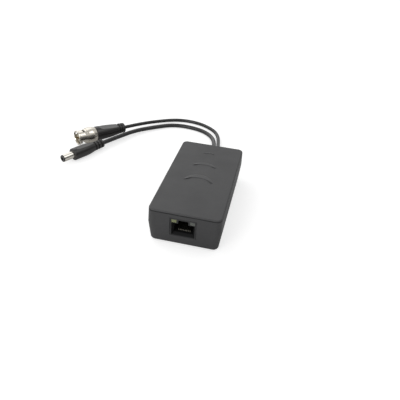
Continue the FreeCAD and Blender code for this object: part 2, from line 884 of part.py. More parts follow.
def bnc_insulator():
    """The white insulator that centres the pin."""
    step = plug_flange_start - insulator_step
    outer = sleeve_radius - sleeve_wall - nest_gap
    return turned((
        (step - 1.4, insulator_bore_radius),
        (step - 1.4, outer),
        (step - nest_gap, outer),
        (step - nest_gap, insulator_radius),
        (boot_start, insulator_radius),
        (boot_start, insulator_bore_radius),
    ))


def bnc_centre_pin():
    """The gilt centre pin with a tapered tip."""
    return turned((
        (centre_pin_start, 0.0),
        (centre_pin_start, 0.2),
        (centre_pin_start + 1.1, centre_pin_radius),
        (boot_start, centre_pin_radius),
        (boot_start, 0.0),
    ))


def bnc_gasket():
    """A soft ring at the root of the outer contact."""
    start = plug_flange_start - gasket_length
    return sleeve(collar_bore_radius - 2 * slide_gap, sleeve_radius + nest_gap, start, plug_flange_start)


def wavy_ring(radius, offset):
    """A closed curve that waves along X as it goes round."""
    count = wave_count * 12
    points = []
    for index in range(count):
        angle = 2 * math.pi * index / count
        swing = (wave_washer_height - wave_washer_thickness) / 2 * math.cos(wave_count * angle)
        points.append(Vector(offset + swing, radius * math.sin(angle), radius * math.cos(angle)))
    curve = Part.BSplineCurve()
    curve.interpolate(Points=points, PeriodicFlag=True)
    return curve.toShape()


def bnc_wave_washer():
    """The spring washer that draws the collar back."""
    inner = hub_radius + 0.06
    outer = collar_bore_radius - slide_gap
    middle = plug_flange_start + plug_flange_length + wave_washer_height / 2 + 0.02
    near = middle - wave_washer_thickness / 2
    far = middle + wave_washer_thickness / 2
    edges = [wavy_ring(inner, near), wavy_ring(outer, near), wavy_ring(outer, far), wavy_ring(inner, far)]
    faces = [Part.makeRuledSurface(edges[index], edges[(index + 1) % 4]) for index in range(4)]
    shell = Part.makeShell([face for surface in faces for face in surface.Faces])
    solid = Part.makeSolid(shell)
    if solid.Volume < 0:
        solid.reverse()
    return solid


def bnc_thrust_washer():
    """A flat washer between the wave washer and the collar's web."""
    start = collar_web_start - 0.15 - thrust_washer_thickness
    return sleeve(collar_bore_radius - slide_gap, hub_radius + 0.05, start, start + thrust_washer_thickness)


def bnc_retaining_ring():
    """The split ring in the hub's groove that keeps the collar on."""
    inner = hub_radius - hub_groove_depth + nest_gap
    ring = sleeve(retaining_ring_radius, inner, ring_start, ring_start + retaining_ring_thickness)
    half = retaining_ring_split / 2
    return ring.cut(block(ring_start - 1, ring_start + 2, -half, half, 0, retaining_ring_radius + 1))


def flat_cutter(x0, x1, height_start, height_end, side):
    """A wedge that leaves a flat panel on one side of a round body."""
    outline = Part.makePolygon([
        Vector(x0, -panel_reach, side * height_start),
        Vector(x1, -panel_reach, side * height_end),
        Vector(x1, -panel_reach, side * panel_reach),
        Vector(x0, -panel_reach, side * panel_reach),
        Vector(x0, -panel_reach, side * height_start),
    ])
    return Part.Face(outline).extrude(Vector(0, 2 * panel_reach, 0))


def bnc_boot():
    """The moulded boot: round grip with two flat panels, taper and two rings at its end."""
    end = boot_start + boot_length
    neck = end - boot_neck_length
    floor_radius = boot_ring_radius - boot_groove_depth
    ring = neck + boot_groove_width
    ring_end = ring + boot_ring_length
    last_ring = ring_end + boot_groove_width
    form = turned((
        (boot_start, 0.0),
        (boot_start, boot_radius),
        (boot_start + boot_shoulder, boot_radius - 0.05),
        (neck, boot_neck_radius),
        (neck, floor_radius),
        (ring, floor_radius),
        (ring, boot_ring_radius),
        (ring_end, boot_ring_radius),
        (ring_end, floor_radius),
        (last_ring, floor_radius),
        (last_ring, boot_ring_radius),
        (end, boot_ring_radius - 0.05),
        (end, 0.0),
    ))
    rims = ((boot_start, boot_radius), (ring, boot_ring_radius), (ring_end, boot_ring_radius),
            (last_ring, boot_ring_radius), (end, boot_ring_radius - 0.05))
    form = form.makeFillet(0.4, ring_edges(form, rims))
    cavity_length = crimp_tail_length + 1 + nest_gap
    cavity = rod(crimp_tail_radius + nest_gap, Vector(boot_start - 1, 0, 0), Vector(1, 0, 0), cavity_length)
    flat_start = boot_start + boot_flat_start
    flat_end = neck - boot_flat_end_margin
    end_height = boot_neck_radius - 0.45
    panels = [flat_cutter(flat_start, flat_end, boot_flat_height, end_height, side) for side in (-1, 1)]
    return form.cut(cavity).cut(Part.makeCompound(panels))


# Power plug, built about +X from its tip


def dc_barrel():
    """The plated outer contact, thicker where the body is moulded round it."""
    return turned((
        (dc_tip_ring_length, dc_barrel_radius - dc_barrel_wall),
        (dc_tip_ring_length, dc_barrel_radius),
        (dc_barrel_length, dc_barrel_radius),
        (dc_barrel_length, dc_sunk_radius),
        (dc_barrel_length + dc_sunk_length, dc_sunk_radius),
        (dc_barrel_length + dc_sunk_length, dc_barrel_radius - dc_barrel_wall),
    ))


def dc_insulator():
    """The black tip ring and the sleeve between the two contacts."""
    contact = dc_bore_radius + dc_contact_wall
    return turned((
        (0.0, dc_bore_radius + 0.2),
        (0.0, dc_barrel_radius - 0.35),
        (0.35, dc_barrel_radius),
        (dc_tip_ring_length - nest_gap, dc_barrel_radius),
        (dc_tip_ring_length - nest_gap, dc_barrel_radius - dc_barrel_wall - nest_gap),
        (dc_barrel_length + dc_sunk_length, dc_barrel_radius - dc_barrel_wall - nest_gap),
        (dc_barrel_length + dc_sunk_length, contact + nest_gap),
        (dc_contact_recess - nest_gap, contact + nest_gap),
        (dc_contact_recess - nest_gap, dc_bore_radius + 0.2),
    ))


def dc_inner_contact():
    """The tube that takes the socket's pin."""
    contact = dc_bore_radius + dc_contact_wall
    end = dc_barrel_length + dc_sunk_length
    return sleeve(contact, dc_bore_radius, dc_contact_recess, end)


def dc_plug_body():
    """The moulded body: straight grip with flat panels, taper and a ribbed strain relief."""
    front = dc_barrel_length
    end = dc_plug_length
    pitch = (end - dc_neck_start) / dc_rib_count
    profile = [
        (front, 0.0),
        (front, dc_body_radius - 0.4),
        (front + 0.4, dc_body_radius),
        (front + dc_body_straight, dc_body_radius),
        (dc_neck_start, dc_neck_radius),
    ]
    for index in range(dc_rib_count):
        start = dc_neck_start + index * pitch
        share = (index + 1) / dc_rib_count
        radius = dc_neck_radius + (dc_rib_end_radius - dc_neck_radius) * share
        floor_radius = radius - dc_rib_groove_depth
        profile.extend([
            (start, floor_radius),
            (start + dc_rib_gap, floor_radius),
            (start + dc_rib_gap, radius),
            (start + pitch, radius),
        ])
    profile.append((end, 0.0))
    form = turned(profile)
    cavity_length = dc_sunk_length + 1 + nest_gap
    cavity = rod(dc_sunk_radius + nest_gap, Vector(front - 1, 0, 0), Vector(1, 0, 0), cavity_length)
    flat_start = front + dc_flat_start
    flat_end = dc_neck_start - dc_flat_end_margin
    panels = [flat_cutter(flat_start, flat_end, dc_flat_height, dc_neck_radius, side) for side in (-1, 1)]
    return form.cut(cavity).cut(Part.makeCompound(panels))


# Leads: corner points of their routes, from the back wall to their plugs

bnc_axis = lead_direction(bnc_heading, bnc_tilt)
bnc_end = bnc_mouth + bnc_axis * (boot_start + boot_length)
dc_axis = lead_direction(dc_heading, dc_tilt)
dc_end = dc_tip + dc_axis * dc_plug_length
exit_y = back_wall_y(lead_exit_z)

coax_route = [
    Vector(coax_exit_x, exit_y, lead_exit_z),
    Vector(coax_exit_x, 58.6, lead_exit_z),
    Vector(-0.5, 75.0, 5.0),
    Vector(-5.0, 101.7, coax_radius),
    Vector(-12.1, 112.7, coax_radius),
    Vector(-27.3, 121.6, coax_radius),
    Vector(-46.6, 122.1, coax_radius),
    Vector(-65.1, 108.5, 2.6),
    bnc_end + bnc_axis * plug_approach,
    bnc_end,
]
power_route = [
    Vector(power_exit_x, exit_y, lead_exit_z),
    Vector(power_exit_x, 60.7, lead_exit_z),
    Vector(-4.0, 78.0, 5.0),
    Vector(-10.1, 99.1, power_radius),
    Vector(-23.7, 109.0, power_radius),
    Vector(-46.5, 110.8, power_radius),
    Vector(-63.9, 97.5, 2.2),
    Vector(-76.2, 83.7, 3.4),
    dc_end + dc_axis * plug_approach,
    dc_end,
]


def main():
    """Builds every piece and writes one file per node."""
    os.makedirs("parts", exist_ok=True)
    pads = [(coax_exit_x + pad_pitch * 1.2, pad_row_y), (coax_exit_x - 0.2, pad_row_y),
            (power_exit_x + 0.8, pad_row_y), (power_exit_x - pad_pitch * 0.8, pad_row_y)]
    save("case_base", case_base())
    save("case_lid", case_lid())
    save("case_screws", *[case_screw(x, y) for x, y in screw_places])
    save("circuit_board", circuit_board(pads))
    save("jack_housing", jack_housing())
    save("jack_contacts", *[jack_contact(index) for index in range(contact_count)])
    save("jack_led_left", jack_led(-1))
    save("jack_led_right", jack_led(1))
    save("balun_core", balun_core())
    save("balun_winding", *balun_winding())
    save("surge_arrestor", surge_arrestor())
    save("resettable_fuse", resettable_fuse())
    save("surge_diodes", *surge_diodes())
    save("chip_capacitors", *chip_capacitors())
    save("coax_tail", lead_tail(coax_exit_x, coax_radius))
    save("power_tail", lead_tail(power_exit_x, power_radius))
    save("coax_screen_wire", tail_wire(coax_exit_x, 1, pads[0]))
    save("coax_core_wire", tail_wire(coax_exit_x, -1, pads[1]))
    save("power_black_wire", tail_wire(power_exit_x, 1, pads[2]))
    save("power_red_wire", tail_wire(power_exit_x, -1, pads[3]))
    save("cable_tie", cable_tie())
    bnc_pieces = {
        "bnc_collar": bnc_collar(),
        "bnc_body": bnc_body(),
        "bnc_insulator": bnc_insulator(),
        "bnc_centre_pin": bnc_centre_pin(),
        "bnc_gasket": bnc_gasket(),
        "bnc_wave_washer": bnc_wave_washer(),
        "bnc_thrust_washer": bnc_thrust_washer(),
        "bnc_retaining_ring": bnc_retaining_ring(),
    }
    for node, shape in bnc_pieces.items():
        save(node, placed(shape, bnc_mouth, bnc_heading, bnc_tilt, bnc_roll))
    save("bnc_boot", placed(bnc_boot(), bnc_mouth, bnc_heading, bnc_tilt))
    dc_pieces = {
        "dc_barrel": dc_barrel(),
        "dc_insulator": dc_insulator(),
        "dc_inner_contact": dc_inner_contact(),
        "dc_plug_body": dc_plug_body(),
    }
    for node, shape in dc_pieces.items():
        save(node, placed(shape, dc_tip, dc_heading, dc_tilt))
    save("coax_lead", round_wire(coax_route, coax_radius, report="coax_lead"))
    save("power_lead", round_wire(power_route, power_radius, report="power_lead"))


main()
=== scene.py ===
"""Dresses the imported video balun: its two leads, every finish, the floor, the light and the camera."""

import logging
import math
from dataclasses import dataclass, field
from enum import Enum
from typing import Any, Protocol

import bmesh
import bpy
from mathutils import Matrix, Vector


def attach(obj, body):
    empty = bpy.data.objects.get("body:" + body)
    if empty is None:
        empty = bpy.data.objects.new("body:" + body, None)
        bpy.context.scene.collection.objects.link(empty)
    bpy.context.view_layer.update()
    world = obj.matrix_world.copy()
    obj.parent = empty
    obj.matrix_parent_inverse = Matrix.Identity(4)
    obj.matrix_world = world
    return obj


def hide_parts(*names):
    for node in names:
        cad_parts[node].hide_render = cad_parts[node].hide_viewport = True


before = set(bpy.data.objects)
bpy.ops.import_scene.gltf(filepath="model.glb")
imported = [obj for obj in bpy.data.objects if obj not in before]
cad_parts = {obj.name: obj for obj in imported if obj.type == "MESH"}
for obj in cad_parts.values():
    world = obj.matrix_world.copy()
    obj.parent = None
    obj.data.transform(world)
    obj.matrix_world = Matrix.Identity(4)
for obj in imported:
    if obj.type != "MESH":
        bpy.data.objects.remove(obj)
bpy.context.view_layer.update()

log = logging.getLogger("balun")

MM = 0.001
# The CAD body of all that doesn't turn with the bayonet collar.
BALUN = "balun"


class FarEnd(str, Enum):
    """What a lead carries on its free end."""

    COAXIAL_PLUG = "connector"
    POWER_PLUG = "plug"


class Buildable(Protocol):
    """Anything that adds itself to the scene."""

    def build(self) -> Any:
        """Builds it."""


@dataclass(frozen=True)
class PlugPose:
    """How a plug lies on the table.

    Attributes:
        mouth_mm: The middle of its mating end.
        heading: Degrees from +X towards +Y, from the mouth to the lead.
        tilt: Degrees that the rear end points down.
    """

    mouth_mm: tuple[float, float, float]
    heading: float
    tilt: float

    def axis(self) -> Vector:
        """Returns the unit vector from the mouth to the lead."""
        turn, drop = math.radians(self.heading), math.radians(self.tilt)
        return Vector((math.cos(turn) * math.cos(drop), math.sin(turn) * math.cos(drop), -math.sin(drop)))

    def along(self, reach_mm: float) -> tuple[float, float, float]:
        """Finds a point on the plug's axis.

        Args:
            reach_mm: Distance from the mouth.

        Returns:
            The point, in millimetres.
        """
        return tuple(Vector(self.mouth_mm) + self.axis() * reach_mm)


# Where the two plugs lie, as in the CAD.
BNC_POSE = PlugPose((-112.1, 50.4, 7.1), 50.0, 2.05)
DC_POSE = PlugPose((-110.3, 20.7, 4.75), 60.1, 0.0)


def linear(code: str) -> tuple[float, float, float, float]:
    """Turns an sRGB hex colour to linear light.

    Args:
        code: Six hex digits, such as "4a4a4a".

    Returns:
        Linear red, green and blue, with an alpha of 1.
    """
    values = [int(code[index : index + 2], 16) / 255 for index in (0, 2, 4)]
    bent = [value / 12.92 if value <= 0.04045 else ((value + 0.055) / 1.055) ** 2.4 for value in values]
    return (bent[0], bent[1], bent[2], 1.0)


def add_node(tree: bpy.types.NodeTree, kind: str, settings: dict[str, Any] | None = None,
             inputs: dict[Any, Any] | None = None) -> bpy.types.Node:
    """Adds a shader node with its settings and links.

    Args:
        tree: The node tree that gets the node.
        kind: The node's type name.
        settings: Attributes of the node itself.
        inputs: Socket name or index to a value, or to an output socket that is linked to it.

    Returns:
        The new node.
    """
    node = tree.nodes.new(kind)
    for name, value in (settings or {}).items():
        setattr(node, name, value)
    for name, value in (inputs or {}).items():
        if isinstance(value, bpy.types.NodeSocket):
            tree.links.new(value, node.inputs[name])
        else:
            node.inputs[name].default_value = value
    return node


def fresh_tree(name: str) -> tuple[bpy.types.Material, bpy.types.NodeTree]:
    """Makes an empty node material.

    Args:
        name: The material's name.

    Returns:
        The material and its cleared node tree.
    """
    material = bpy.data.materials.new(name)
    material.use_nodes = True
    tree = material.node_tree
    tree.nodes.clear()
    return material, tree


@dataclass(frozen=True)
class Finish:
    """What every finish has: a name, a body colour and a mottled second colour.

    Attributes:
        name: What the real material is called.
        colour: Its main colour, as sRGB hex.
        shade: The colour that it drifts to over its patches.
        roughness: Microfacet roughness in the middle of its range.
        roughness_swing: How much the roughness varies over a patch.
        patch_mm: Size of the patches of colour and roughness.
        grain_mm: Size of the surface's relief.
        grain_depth_mm: Depth of that relief.
        metallic: 1 on bare metal.
        detail: How many finer octaves the relief has.
    """

    name: str
    colour: str
    shade: str
    roughness: float = 0.5
    roughness_swing: float = 0.08
    patch_mm: float = 12.0
    grain_mm: float = 0.5
    grain_depth_mm: float = 0.02
    metallic: float = 0.0
    detail: float = 4.0

    def noise(self, tree: bpy.types.NodeTree, size_mm: float, detail: float, place: Any) -> bpy.types.Node:
        """Adds a noise whose features have a size in millimetres.

        Args:
            tree: The node tree.
            size_mm: The features' size.
            detail: How many finer octaves it has.
            place: The coordinate socket.

        Returns:
            The noise node.
        """
        return add_node(tree, "ShaderNodeTexNoise", {}, {
            "Vector": place, "Scale": 1 / (size_mm * MM), "Detail": detail, "Roughness": 0.55})

    def surface(self, tree: bpy.types.NodeTree, place: Any) -> dict[str, Any]:
        """Works out the sockets that all finishes share.

        Args:
            tree: The node tree.
            place: The coordinate socket.

        Returns:
            Inputs for a Principled shader.
        """
        patches = self.noise(tree, self.patch_mm, 3.0, place)
        colour = add_node(tree, "ShaderNodeMix", {"data_type": "RGBA"}, {
            0: patches.outputs["Fac"], 6: linear(self.colour), 7: linear(self.shade)})
        rough = add_node(tree, "ShaderNodeMapRange", {}, {
            "Value": patches.outputs["Fac"], "From Min": 0.3, "From Max": 0.7,
            "To Min": self.roughness - self.roughness_swing,
            "To Max": self.roughness + self.roughness_swing})
        grain = self.noise(tree, self.grain_mm, self.detail, place)
        bump = add_node(tree, "ShaderNodeBump", {}, {
            "Strength": 1.0, "Distance": self.grain_depth_mm * MM, "Height": grain.outputs["Fac"]})
        return {"Base Color": colour.outputs[2], "Roughness": rough.outputs["Result"],
                "Normal": bump.outputs["Normal"]}

    def extras(self) -> dict[str, Any]:
        """Returns the constant shader values that a finish adds."""
        return {}

    def material(self) -> bpy.types.Material:
        """Builds the finish as a material.

        Returns:
            The finished material.
        """
        known = bpy.data.materials.get(self.name)
        if known is not None:
            return known
        material, tree = fresh_tree(self.name)
        place = add_node(tree, "ShaderNodeTexCoord").outputs["Object"]
        inputs = {"Metallic": self.metallic, **self.surface(tree, place), **self.extras()}
        shader = add_node(tree, "ShaderNodeBsdfPrincipled", {}, inputs)
        add_node(tree, "ShaderNodeOutputMaterial", {}, {"Surface": shader.outputs["BSDF"]})
        return material


@dataclass(frozen=True)
class SparkedPlastic(Finish):
    """Plastic moulded in a spark-eroded tool: overlapping round pits over a fine grain, with a painted sheen
    on its raised figures.

    Attributes:
        pit_share: Size of the pits as a share of the grain.
        wave_share: Size of the waves under them as a share of the grain.
        painted_relief_sheen: A paler colour painted on its raised figures as a painted highlight, as sRGB
            hex.
        painted_sheen_z_mm: Height at which the figures have that painted sheen colour.
        painted_sheen_fade_mm: Height over which they take it on.
    """

    pit_share: float = 0.8
    wave_share: float = 1.7
    painted_relief_sheen: str = "464647"
    painted_sheen_z_mm: float = 24.26
    painted_sheen_fade_mm: float = 0.04

    def surface(self, tree: bpy.types.NodeTree, place: Any) -> dict[str, Any]:
        """Works out colour, roughness, the two scales of grain and the painted sheen on the raised figures.

        Args:
            tree: The node tree.
            place: The coordinate socket.

        Returns:
            Inputs for a Principled shader.
        """
        shared = super().surface(tree, place)
        pits = add_node(tree, "ShaderNodeTexVoronoi", {"feature": "F1"}, {
            "Vector": place, "Scale": 1 / (self.grain_mm * self.pit_share * MM), "Randomness": 1.0})
        waves = self.noise(tree, self.grain_mm * self.wave_share, 2.0, place)
        height = add_node(tree, "ShaderNodeMath", {"operation": "ADD"}, {
            0: pits.outputs["Distance"], 1: waves.outputs["Fac"]})
        bump = add_node(tree, "ShaderNodeBump", {}, {
            "Strength": 1.0, "Distance": self.grain_depth_mm * MM, "Height": height.outputs["Value"]})
        parts = add_node(tree, "ShaderNodeSeparateXYZ", {}, {0: place})
        # Painted sheen: above this height the raised figures get a paler colour, a painted highlight where
        # their slopes would catch the light.
        painted_sheen_mask = add_node(tree, "ShaderNodeMapRange", {}, {
            "Value": parts.outputs["Z"], "From Min": (self.painted_sheen_z_mm - self.painted_sheen_fade_mm) * MM,
            "From Max": self.painted_sheen_z_mm * MM})
        colour = add_node(tree, "ShaderNodeMix", {"data_type": "RGBA"}, {
            0: painted_sheen_mask.outputs["Result"], 6: shared["Base Color"], 7: linear(self.painted_relief_sheen)})
        return {**shared, "Base Color": colour.outputs[2], "Normal": bump.outputs["Normal"]}


@dataclass(frozen=True)
class MouthPlastic(Finish):
    """A jack's moulding, with painted shade that blackens its colour behind its face, in its mouth.

    Attributes:
        painted_inner_shade: The painted shade colour in its mouth, as sRGB hex.
        face_y_mm: Where the face stands.
        fade_mm: How deep behind the face the painted shade fades in.
    """

    painted_inner_shade: str = "1d1d1e"
    face_y_mm: float = -43.55
    fade_mm: float = 0.35

    def surface(self, tree: bpy.types.NodeTree, place: Any) -> dict[str, Any]:
        """Works out the shared sockets and paints shade into the mouth.

        Args:
            tree: The node tree.
            place: The coordinate socket.

        Returns:
            Inputs for a Principled shader.
        """
        shared = super().surface(tree, place)
        # Painted shade: behind the face the colour turns darker, standing in for the shade in the jack's
        # mouth.
        parts = add_node(tree, "ShaderNodeSeparateXYZ", {}, {0: place})
        painted_shade_mask = add_node(tree, "ShaderNodeMapRange", {}, {
            "Value": parts.outputs["Y"], "From Min": (self.face_y_mm + 0.05) * MM,
            "From Max": (self.face_y_mm + self.fade_mm) * MM})
        colour = add_node(tree, "ShaderNodeMix", {"data_type": "RGBA"}, {
            0: painted_shade_mask.outputs["Result"], 6: shared["Base Color"], 7: linear(self.painted_inner_shade)})
        return {**shared, "Base Color": colour.outputs[2]}

    def extras(self) -> dict[str, Any]:
        """Returns the weak sheen of a moulding full of glass and soot."""
        return {"Specular IOR Level": 0.2}


@dataclass(frozen=True)
class PlatedMetal(Finish):
    """A thin bright plate over a worked base metal."""

    metallic: float = 1.0


@dataclass(frozen=True)
class TurnedMetal(PlatedMetal):
    """Plate over a turned part: lines run round the plug's axis and smear its highlights along it.

    Attributes:
        pose: The plug that was turned.
        line_mm: Width of a turning line.
        line_depth_mm: Depth of a turning line.
    """

    pose: PlugPose = BNC_POSE
    line_mm: float = 0.25
    line_depth_mm: float = 0.0004

    def surface(self, tree: bpy.types.NodeTree, place: Any) -> dict[str, Any]:
        """Works out the shared sockets and adds the turning lines.

        Args:
            tree: The node tree.
            place: The coordinate socket.

        Returns:
            Inputs for a Principled shader.
        """
        shared = super().surface(tree, place)
        own = add_node(tree, "ShaderNodeMapping", {"vector_type": "TEXTURE"}, {
            "Vector": place, "Location": tuple(value * MM for value in self.pose.mouth_mm),
            "Rotation": (0.0, math.radians(self.pose.tilt), math.radians(self.pose.heading))})
        parts = add_node(tree, "ShaderNodeSeparateXYZ", {}, {0: own.outputs["Vector"]})
        lines = add_node(tree, "ShaderNodeTexNoise", {"noise_dimensions": "1D"}, {
            "W": parts.outputs["X"], "Scale": 1 / (self.line_mm * MM), "Detail": 2.0})
        bump = add_node(tree, "ShaderNodeBump", {}, {
            "Strength": 1.0, "Distance": self.line_depth_mm * MM, "Height": lines.outputs["Fac"],
            "Normal": shared["Normal"]})
        return {**shared, "Normal": bump.outputs["Normal"]}


@dataclass(frozen=True)
class ClearPlastic(Finish):
    """A tinted light pipe: clear, with a milky body."""

    def extras(self) -> dict[str, Any]:
        """Returns the clear body's constant values."""
        return {"Transmission Weight": 0.25, "IOR": 1.5, "Coat Weight": 0.3, "Coat Roughness": 0.15}


@dataclass(frozen=True)
class GlossPlastic(Finish):
    """A smooth moulded, extruded or dipped surface with a thin gloss."""

    gloss: float = 0.3

    def extras(self) -> dict[str, Any]:
        """Returns the gloss's constant values."""
        return {"Coat Weight": self.gloss, "Coat Roughness": 0.18, "IOR": 1.5}


# The box: dark ABS with a spark-eroded grain that turns every highlight to a soft, even sheen. The real
# pits are about 0.1 mm across and are drawn four times as coarse, so that they show.
# Its lid's raised figures are given a paler colour as a painted sheen.
SHELL = SparkedPlastic("sparked_dark_abs", "404041", "3c3c3d", 0.5, 0.05, 16.0, 0.42, 0.014)
# The jack: filled polyester, nearly as grey as the box on its face, with painted shade that makes it close to
# black in its mouth.
JACK = MouthPlastic("moulded_black_polyester", "3f3f40", "3a3a3b", 0.5, 0.05, 4.0, 0.3, 0.006)
# Its contacts: a gilt flash over drawn bronze strip, its colour darkened as painted shade from the jack's
# mouth, seen as small dim warm ticks.
CONTACT = PlatedMetal("gilt_bronze_strip_painted_shade", "6c6962", "5f5c56", 0.4, 0.05, 1.0, 0.2, 0.002)
# The centre pin: a fresh gilt flash over turned bronze, warmer and brighter than the strip.
GOLD = PlatedMetal("gilt_phosphor_bronze", "b59a62", "a3874f", 0.3, 0.05, 1.0, 0.2, 0.002)
# The indicators: tinted epoxy light pipes, unlit, so their colour is weak and a little milky.
LED_YELLOW = ClearPlastic("yellow_green_light_pipe", "8a9446", "8c8f78", 0.34, 0.05, 1.2, 0.4, 0.004)
LED_GREEN = ClearPlastic("pale_green_light_pipe", "6c706a", "626660", 0.34, 0.05, 1.2, 0.4, 0.004)
# The board: glossy green solder mask, slightly uneven where it was curtain coated.
BOARD = GlossPlastic("green_solder_mask", "1d5a34", "164a2a", 0.35, 0.05, 5.0, 0.6, 0.01)
# The ring: sintered ferrite under a thin grey-black coat, dull with a fine tooth.
FERRITE = Finish("coated_ferrite", "35363a", "2b2c30", 0.6, 0.08, 2.0, 0.25, 0.02)
# Winding wire: copper under clear enamel, redder than bare copper.
COPPER = PlatedMetal("enamelled_copper", "b8622e", "9c4c22", 0.3, 0.06, 1.5, 0.3, 0.003)
# The arrestor: tinned steel caps, greyish white and a little cloudy.
TINNED = PlatedMetal("tinned_steel", "c9c8c4", "b5b4b0", 0.3, 0.06, 2.0, 0.3, 0.003)
# The fuse: dipped epoxy, opaque yellow with a rounded, wet-looking skin.
FUSE = GlossPlastic("yellow_epoxy_dip", "d9a02c", "c98d20", 0.3, 0.05, 2.0, 0.8, 0.02)
# The diodes: transfer-moulded epoxy, dull black.
DIODE = Finish("moulded_epoxy", "262626", "2e2e2e", 0.55, 0.06, 2.0, 0.3, 0.01)
# The chips: fired ceramic, biscuit brown and matt.
CERAMIC = Finish("fired_ceramic", "9c8262", "8b7253", 0.5, 0.06, 1.0, 0.2, 0.005)
# The screws: zinc plate over steel, bluish white with cloudy patches.
ZINC = PlatedMetal("zinc_plated_steel", "b9babc", "a4a6a8", 0.32, 0.08, 2.0, 0.3, 0.004)
# The boots: moulded soft PVC, near black with a warm cast and a satin skin.
BOOT = GlossPlastic("satin_black_pvc", "242221", "1d1b1a", 0.38, 0.05, 7.0, 0.6, 0.01, gloss=0.3)
# The inner wires: extruded PVC insulation, smooth and even.
RED_WIRE = GlossPlastic("red_wire_insulation", "b3231c", "a01c16", 0.35, 0.05, 3.0, 0.4, 0.004)
BLACK_WIRE = GlossPlastic("black_wire_insulation", "262627", "1f1f20", 0.35, 0.05, 3.0, 0.4, 0.004)
WHITE_WIRE = GlossPlastic("white_wire_insulation", "e6e5df", "dad9d2", 0.35, 0.05, 3.0, 0.4, 0.004)
# The tie: undyed nylon, milky white.
NYLON = GlossPlastic("natural_nylon", "dcdad0", "cfcdc2", 0.4, 0.05, 2.0, 0.4, 0.006)
# Both plugs' metal: bright nickel over turned brass, a warm white mirror. The real turning lines are
# about 0.05 mm apart and are drawn five times as coarse, so that they show.
BNC_NICKEL = TurnedMetal("bright_nickel_on_turned_brass", "e6e1d7", "d8d3c8", 0.16, 0.04, 3.0, 0.5, 0.0006)
DC_NICKEL = TurnedMetal("bright_nickel_on_drawn_tube", "ebe7df", "ddd9d0", 0.15, 0.04, 3.0, 0.5, 0.0006,
                        pose=DC_POSE)
# Washers and ring: blued-back spring steel, greyer and duller than the plate.
SPRING = PlatedMetal("spring_steel", "9d9d9b", "8a8a88", 0.3, 0.06, 2.0, 0.3, 0.003)
# The insulator: white acetal, dense and slightly waxy.
INSULATOR = Finish("white_acetal", "ecebe6", "e2e1db", 0.4, 0.05, 2.0, 0.4, 0.005)
# The gasket: soft rubber, the dullest black on the part.
RUBBER = Finish("soft_black_rubber", "2a2a2a", "222222", 0.7, 0.05, 2.0, 0.3, 0.01)
# Both leads: extruded PVC jacket, near black, with a low gloss that whitens where it turns to the light.
JACKET = GlossPlastic("black_pvc_jacket", "232324", "1d1d1e", 0.42, 0.06, 8.0, 0.6, 0.01, gloss=0.25)


@dataclass
class Dressing:
    """A sub-assembly of CAD nodes that keep their shape and get their finishes.

    Attributes:
        title: What the sub-assembly is called in the log.
        finishes: Node name to finish.
    """

    title: str
    finishes: dict[str, Finish]

    def build(self) -> None:
        """Gives each node its finish."""
        for node, finish in self.finishes.items():
            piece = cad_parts[node]
            material = finish.material()
            piece.data.materials.clear()
            piece.data.materials.append(material)
            log.info("%s: %s in %s", self.title, node, finish.name)


